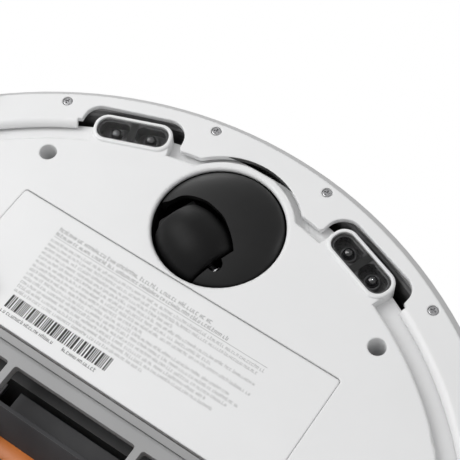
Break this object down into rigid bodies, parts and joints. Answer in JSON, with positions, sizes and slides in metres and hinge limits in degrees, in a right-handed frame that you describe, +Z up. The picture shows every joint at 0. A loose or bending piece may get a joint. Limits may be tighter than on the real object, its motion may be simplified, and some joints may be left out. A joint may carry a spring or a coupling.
{
  "type": "robot vacuum cleaner",
  "caption": "Round floor-cleaning robot with sprung front bumper, swivel caster, sprung drive wheels, roller brush, side brush, lidar turret and slide-out dust bin.",
  "frame": {"origin": "on the floor, under the middle of the body, with the robot standing on its wheels", "axes": "+Z up, -Y forwards (bumper side), +X to the robot's left"},
  "size_m": [0.35, 0.35, 0.097],
  "materials": {
    "white_shell": "fine satin moulded",
    "white_gloss": "gloss moulded",
    "grey_cover": "satin moulded",
    "black_plastic": "semi-gloss moulded",
    "dark_grey": "satin moulded",
    "smoked_lens": "smoked clear",
    "smoked_bin": "smoked clear",
    "emitter": "clear dome",
    "steel": "zinc plated",
    "tyre_rubber": "moulded tread",
    "fin_rubber": "soft",
    "bristle": "nylon",
    "brush_roller": "moulded",
    "board": "solder mask",
    "battery_wrap": "shrink wrap",
    "filter_paper": "pleated",
    "contact_metal": "plated",
    "button_plastic": "satin"
  },
  "bodies": {
    "chassis": {"chassis_base": "white_shell", "base_panel": "white_shell", "battery_pack": "battery_wrap", "base_screws": "steel", "rear_shell": "white_shell", "exhaust_grille": "dark_grey", "front_wall": "black_plastic", "bumper_switches": "black_plastic", "top_cover": "white_gloss", "turret_housing": "black_plastic", "turret_cap": "white_gloss", "caster_cup": "black_plastic", "cliff_windows": "smoked_lens", "cliff_sensors": "black_plastic", "cliff_emitters": "emitter", "brush_housing": "dark_grey", "brush_bearings": "dark_grey", "brush_motor": "dark_grey", "side_brush_motor": "dark_grey", "wheel_well_left": "dark_grey", "wheel_well_right": "dark_grey", "suspension_pins": "steel", "suspension_springs": "steel", "fan_housing": "dark_grey", "bin_bay": "dark_grey", "main_board": "board", "charging_contacts": "contact_metal"},
    "bumper": {"bumper_shell": "white_shell", "signal_window": "smoked_lens", "bumper_liner": "black_plastic", "bumper_screws": "steel"},
    "caster": {"caster_carriage": "black_plastic", "caster_stem": "steel", "caster_axle": "steel"},
    "caster_wheel": {"caster_wheel": "black_plastic"},
    "main_brush": {"brush_core": "brush_roller", "brush_fins": "fin_rubber"},
    "side_brush": {"side_brush_hub": "dark_grey", "side_brush_arms": "bristle", "side_brush_screw": "steel"},
    "suspension_left": {"suspension_arm_left": "black_plastic", "drive_motor_left": "steel"},
    "suspension_right": {"suspension_arm_right": "black_plastic", "drive_motor_right": "steel"},
    "wheel_left": {"drive_hub_left": "dark_grey", "drive_tyre_left": "tyre_rubber"},
    "wheel_right": {"drive_hub_right": "dark_grey", "drive_tyre_right": "tyre_rubber"},
    "fan": {"fan_impeller": "black_plastic"},
    "lidar": {"lidar_rotor": "dark_grey"},
    "power_button": {"power_button": "button_plastic"},
    "dock_button": {"dock_button": "button_plastic"},
    "brush_cover": {"brush_cover": "grey_cover"},
    "clip_left": {"cover_clip_left": "dark_grey"},
    "clip_right": {"cover_clip_right": "dark_grey"},
    "dust_bin": {"bin_body": "smoked_bin", "bin_lid": "dark_grey", "bin_filter": "filter_paper"},
    "bin_latch": {"bin_latch": "grey_cover"}
  },
  "joints": [
    {"name": "bumper_push", "type": "slide", "parent": "chassis", "child": "bumper", "axis": [0, 1, 0], "range_m": [0, 0.0025], "stiffness_N_per_m": 900, "springref_m": -0.004},
    {"name": "caster_swivel", "type": "hinge", "parent": "chassis", "child": "caster", "pos_m": [0, -0.1307, 0.0135], "axis": [0, 0, 1], "continuous": true},
    {"name": "caster_wheel_spin", "type": "hinge", "parent": "caster", "child": "caster_wheel", "pos_m": [-0.00394, -0.12043, 0.0135], "axis": [0.9336, 0.3584, 0], "continuous": true},
    {"name": "main_brush_spin", "type": "hinge", "parent": "chassis", "child": "main_brush", "pos_m": [0, -0.017, 0.0245], "axis": [1, 0, 0], "continuous": true},
    {"name": "side_brush_spin", "type": "hinge", "parent": "chassis", "child": "side_brush", "pos_m": [-0.11, -0.0799, 0.005], "axis": [0, 0, 1], "continuous": true},
    {"name": "left_suspension", "type": "hinge", "parent": "chassis", "child": "suspension_left", "pos_m": [0.1169, -0.04, 0.03], "axis": [-1, 0, 0], "range_deg": [0, 22], "stiffness_Nm_per_rad": 0.25, "springref_deg": 51.57},
    {"name": "right_suspension", "type": "hinge", "parent": "chassis", "child": "suspension_right", "pos_m": [-0.1169, -0.04, 0.03], "axis": [-1, 0, 0], "range_deg": [0, 22], "stiffness_Nm_per_rad": 0.25, "springref_deg": 51.57},
    {"name": "left_wheel_spin", "type": "hinge", "parent": "suspension_left", "child": "wheel_left", "pos_m": [0.118, 0.003, 0.034], "axis": [1, 0, 0], "continuous": true},
    {"name": "right_wheel_spin", "type": "hinge", "parent": "suspension_right", "child": "wheel_right", "pos_m": [-0.118, 0.003, 0.034], "axis": [1, 0, 0], "continuous": true},
    {"name": "fan_spin", "type": "hinge", "parent": "chassis", "child": "fan", "pos_m": [0.105, 0.092, 0.04], "axis": [0, 0, 1], "continuous": true},
    {"name": "lidar_spin", "type": "hinge", "parent": "chassis", "child": "lidar", "pos_m": [0, 0.015, 0.075], "axis": [0, 0, 1], "continuous": true},
    {"name": "power_press", "type": "slide", "parent": "chassis", "child": "power_button", "axis": [0, 0, -1], "range_m": [0, 0.001], "stiffness_N_per_m": 300, "springref_m": -0.002},
    {"name": "dock_press", "type": "slide", "parent": "chassis", "child": "dock_button", "axis": [0, 0, -1], "range_m": [0, 0.001], "stiffness_N_per_m": 300, "springref_m": -0.002},
    {"name": "brush_cover_off", "type": "slide", "parent": "chassis", "child": "brush_cover", "axis": [0, 0, -1], "range_m": [0, 0.04]},
    {"name": "left_clip_press", "type": "slide", "parent": "brush_cover", "child": "clip_left", "axis": [0, -1, 0], "range_m": [0, 0.0025], "stiffness_N_per_m": 300, "springref_m": -0.003},
    {"name": "right_clip_press", "type": "slide", "parent": "brush_cover", "child": "clip_right", "axis": [0, -1, 0], "range_m": [0, 0.0025], "stiffness_N_per_m": 300, "springref_m": -0.003},
    {"name": "dust_bin_pull", "type": "slide", "parent": "chassis", "child": "dust_bin", "axis": [0, 1, 0], "range_m": [0, 0.12]},
    {"name": "bin_latch_press", "type": "slide", "parent": "dust_bin", "child": "bin_latch", "axis": [0, -1, 0], "range_m": [0, 0.002], "stiffness_N_per_m": 400, "springref_m": -0.003}
  ]
}
